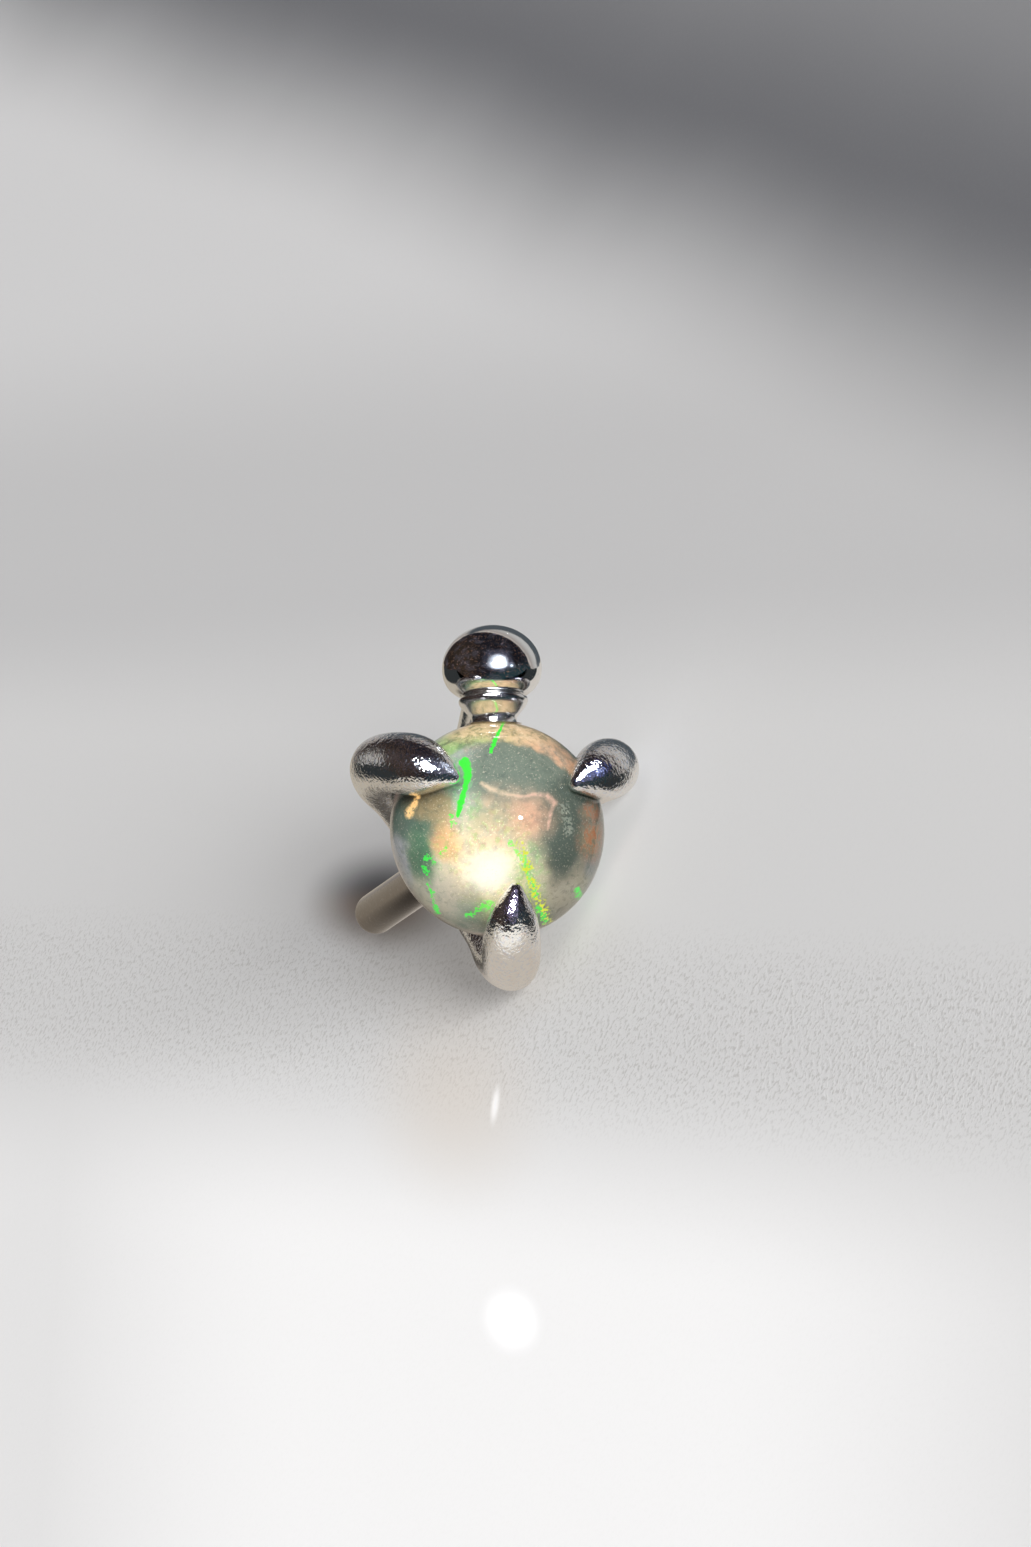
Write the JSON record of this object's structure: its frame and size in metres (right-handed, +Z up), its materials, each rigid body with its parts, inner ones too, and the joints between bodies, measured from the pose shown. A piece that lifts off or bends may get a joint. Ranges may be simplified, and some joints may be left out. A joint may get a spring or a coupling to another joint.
{
  "type": "threadless piercing end",
  "caption": "Push-pin jewellery end: a glassy opal dome held by round tear-drop claws, with a flattened bead on a short neck beside it and a straight plain pin behind.",
  "frame": {"origin": "on the surface that the jewel lies on, below the middle of its bounding box", "axes": "+Z up, the stone's face towards -Y and a little up, the pin towards +Y and a little down; the bead is to +X"},
  "size_m": [0.0038, 0.0066, 0.0031],
  "materials": {
    "white_metal": "mirror polish",
    "opal": "polished, clear with coloured flashes",
    "pin_metal": "drawn and polished"
  },
  "bodies": {
    "root": {"setting": "white_metal", "opal": "opal", "pin": "pin_metal"}
  },
  "joints": []
}
